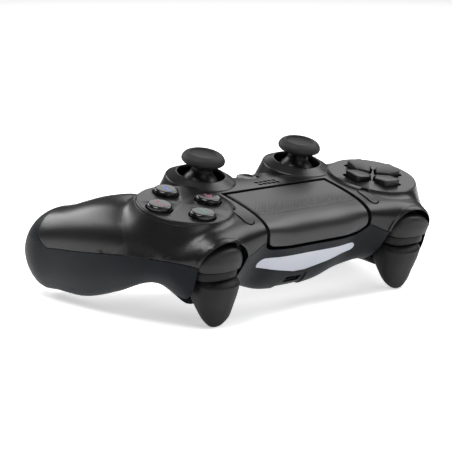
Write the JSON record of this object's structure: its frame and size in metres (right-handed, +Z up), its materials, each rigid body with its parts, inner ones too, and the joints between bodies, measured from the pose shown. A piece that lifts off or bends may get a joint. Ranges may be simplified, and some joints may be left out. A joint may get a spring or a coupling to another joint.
{
  "type": "gamepad controller",
  "caption": "Two-handed game controller: two grips, twin tilting thumb sticks, face buttons, rocking direction pad, folded touch pad, shoulder buttons and sprung triggers.",
  "frame": {"origin": "centre of the bounding box on the floor the controller rests on", "axes": "+X to the player's right, +Y away from the player, +Z up; the deck leans 13.2 degrees forward at rest"},
  "size_m": [0.1646, 0.1042, 0.0614],
  "materials": {
    "case_top": "satin moulded charcoal",
    "case_bottom": "satin moulded, faintly blue charcoal",
    "touch_surface": "finely pebbled",
    "lens": "frosted translucent",
    "key": "glossy black",
    "cap_rubber": "matt black rubber",
    "shoulder": "finely grained charcoal",
    "black_plastic": "moulded black",
    "frame": "grey moulded",
    "mat": "grey silicone",
    "board": "green laminate",
    "cell": "wrapped cell",
    "sensor": "amber laminate",
    "steel": "bright steel",
    "weight": "sintered weight"
  },
  "bodies": {
    "case": {"top_shell": "case_top", "bottom_shell": "case_bottom", "light_lens": "lens", "button_mat": "mat", "d_pad_mat": "mat", "stick_case_right": "steel", "stick_sensors_right": "sensor", "stick_case_left": "steel", "stick_sensors_left": "sensor", "trigger_pins": "steel", "trigger_springs": "steel", "bracket_right": "shoulder", "bracket_left": "shoulder", "rumble_motor_right": "steel", "rumble_motor_left": "steel", "main_board": "board", "mid_frame": "frame", "battery": "cell", "charge_board": "board", "charge_socket": "steel", "headset_socket": "black_plastic", "link_socket": "black_plastic", "speaker": "black_plastic", "case_screws": "steel"},
    "touchpad": {"touchpad": "touch_surface", "touch_board": "board"},
    "d_pad_link": {"d_pad_link": "steel"},
    "d_pad": {"d_pad": "key"},
    "menu_button": {"menu_button": "case_top"},
    "share_button": {"share_button": "case_top"},
    "home_button": {"home_button": "key"},
    "button_right": {"button_right": "key"},
    "button_top": {"button_top": "key"},
    "button_left": {"button_left": "key"},
    "button_bottom": {"button_bottom": "key"},
    "stick_yoke_right": {"stick_yoke_right": "black_plastic"},
    "stick_hub_right": {"stick_hub_right": "frame"},
    "stick_arch_right": {"stick_arch_right": "black_plastic"},
    "stick_right": {"stick_lever_right": "steel", "stick_cap_right": "cap_rubber"},
    "bumper_right": {"bumper_right": "shoulder"},
    "trigger_right": {"trigger_right": "shoulder"},
    "rumble_weight_right": {"rumble_weight_right": "weight"},
    "stick_yoke_left": {"stick_yoke_left": "black_plastic"},
    "stick_hub_left": {"stick_hub_left": "frame"},
    "stick_arch_left": {"stick_arch_left": "black_plastic"},
    "stick_left": {"stick_lever_left": "steel", "stick_cap_left": "cap_rubber"},
    "bumper_left": {"bumper_left": "shoulder"},
    "trigger_left": {"trigger_left": "shoulder"},
    "rumble_weight_left": {"rumble_weight_left": "weight"}
  },
  "joints": [
    {"name": "button_right_press", "type": "slide", "parent": "case", "child": "button_right", "axis": [0, -0.2284, -0.9736], "range_m": [0, 0.001], "stiffness_N_per_m": 300, "springref_m": -0.001, "deforming": ["button_mat"]},
    {"name": "button_top_press", "type": "slide", "parent": "case", "child": "button_top", "axis": [0, -0.2284, -0.9736], "range_m": [0, 0.001], "stiffness_N_per_m": 300, "springref_m": -0.001, "deforming": ["button_mat"]},
    {"name": "button_left_press", "type": "slide", "parent": "case", "child": "button_left", "axis": [0, -0.2284, -0.9736], "range_m": [0, 0.001], "stiffness_N_per_m": 300, "springref_m": -0.001, "deforming": ["button_mat"]},
    {"name": "button_bottom_press", "type": "slide", "parent": "case", "child": "button_bottom", "axis": [0, -0.2284, -0.9736], "range_m": [0, 0.001], "stiffness_N_per_m": 300, "springref_m": -0.001, "deforming": ["button_mat"]},
    {"name": "menu_press", "type": "slide", "parent": "case", "child": "menu_button", "axis": [0, -0.2284, -0.9736], "range_m": [0, 0.0006], "stiffness_N_per_m": 400, "springref_m": -0.0006},
    {"name": "share_press", "type": "slide", "parent": "case", "child": "share_button", "axis": [0, -0.2284, -0.9736], "range_m": [0, 0.0006], "stiffness_N_per_m": 400, "springref_m": -0.0006},
    {"name": "home_press", "type": "slide", "parent": "case", "child": "home_button", "axis": [0, -0.2284, -0.9736], "range_m": [0, 0.0006], "stiffness_N_per_m": 400, "springref_m": -0.0006},
    {"name": "touch_press", "type": "hinge", "parent": "case", "child": "touchpad", "pos_m": [0, 0.04064, 0.03301], "axis": [1, 0, 0], "range_deg": [0, 1.5], "stiffness_Nm_per_rad": 1, "springref_deg": -1.72},
    {"name": "pad_tilt_x", "type": "hinge", "parent": "case", "child": "d_pad_link", "pos_m": [-0.05, 0.02364, 0.03936], "axis": [1, 0, 0], "range_deg": [-3, 3], "stiffness_Nm_per_rad": 0.06, "deforming": ["d_pad_mat"]},
    {"name": "pad_tilt_y", "type": "hinge", "parent": "d_pad_link", "child": "d_pad", "pos_m": [-0.05, 0.02364, 0.03936], "axis": [0, 0.9736, -0.2284], "range_deg": [-3, 3], "stiffness_Nm_per_rad": 0.06, "deforming": ["d_pad_mat"]},
    {"name": "stick_right_tilt_x", "type": "hinge", "parent": "case", "child": "stick_yoke_right", "pos_m": [0.0256, 0.00249, 0.04247], "axis": [1, 0, 0], "range_deg": [-14, 14], "stiffness_Nm_per_rad": 0.05},
    {"name": "stick_right_tilt_y", "type": "hinge", "parent": "stick_yoke_right", "child": "stick_hub_right", "pos_m": [0.0256, 0.00249, 0.04247], "axis": [0, 0.9736, -0.2284], "range_deg": [-14, 14], "stiffness_Nm_per_rad": 0.05},
    {"name": "stick_right_press", "type": "slide", "parent": "stick_hub_right", "child": "stick_right", "axis": [0, -0.2284, -0.9736], "range_m": [0, 0.0005], "stiffness_N_per_m": 2000, "springref_m": -0.0005},
    {"name": "stick_right_arch", "type": "hinge", "parent": "case", "child": "stick_arch_right", "pos_m": [0.0256, 0.00249, 0.04247], "axis": [0, 0.9736, -0.2284], "range_deg": [-14, 14]},
    {"name": "bumper_right_press", "type": "hinge", "parent": "case", "child": "bumper_right", "pos_m": [0.0427, 0.04468, 0.02744], "axis": [0, -0.2284, -0.9736], "range_deg": [0, 4], "stiffness_Nm_per_rad": 0.2, "springref_deg": -5.73},
    {"name": "trigger_right_pull", "type": "hinge", "parent": "case", "child": "trigger_right", "pos_m": [0.0486, 0.03583, 0.01863], "axis": [-1, 0, 0], "range_deg": [0, 16], "stiffness_Nm_per_rad": 0.06, "springref_deg": -28.65},
    {"name": "rumble_right_spin", "type": "hinge", "parent": "case", "child": "rumble_weight_right", "pos_m": [0.064, -0.02434, 0.02309], "axis": [0, 0.9736, -0.2284], "continuous": true},
    {"name": "stick_left_tilt_x", "type": "hinge", "parent": "case", "child": "stick_yoke_left", "pos_m": [-0.0256, 0.00249, 0.04247], "axis": [1, 0, 0], "range_deg": [-14, 14], "stiffness_Nm_per_rad": 0.05},
    {"name": "stick_left_tilt_y", "type": "hinge", "parent": "stick_yoke_left", "child": "stick_hub_left", "pos_m": [-0.0256, 0.00249, 0.04247], "axis": [0, 0.9736, -0.2284], "range_deg": [-14, 14], "stiffness_Nm_per_rad": 0.05},
    {"name": "stick_left_press", "type": "slide", "parent": "stick_hub_left", "child": "stick_left", "axis": [0, -0.2284, -0.9736], "range_m": [0, 0.0005], "stiffness_N_per_m": 2000, "springref_m": -0.0005},
    {"name": "stick_left_arch", "type": "hinge", "parent": "case", "child": "stick_arch_left", "pos_m": [-0.0256, 0.00249, 0.04247], "axis": [0, 0.9736, -0.2284], "range_deg": [-14, 14]},
    {"name": "bumper_left_press", "type": "hinge", "parent": "case", "child": "bumper_left", "pos_m": [-0.0427, 0.04468, 0.02744], "axis": [0, 0.2284, 0.9736], "range_deg": [0, 4], "stiffness_Nm_per_rad": 0.2, "springref_deg": -5.73},
    {"name": "trigger_left_pull", "type": "hinge", "parent": "case", "child": "trigger_left", "pos_m": [-0.0486, 0.03583, 0.01863], "axis": [-1, 0, 0], "range_deg": [0, 16], "stiffness_Nm_per_rad": 0.06, "springref_deg": -28.65},
    {"name": "rumble_left_spin", "type": "hinge", "parent": "case", "child": "rumble_weight_left", "pos_m": [-0.064, -0.02434, 0.02309], "axis": [0, 0.9736, -0.2284], "continuous": true}
  ],
  "couplings": [
    {"joint": "stick_right_arch", "follows": "stick_right_tilt_y", "ratio": 1},
    {"joint": "stick_left_arch", "follows": "stick_left_tilt_y", "ratio": 1}
  ]
}
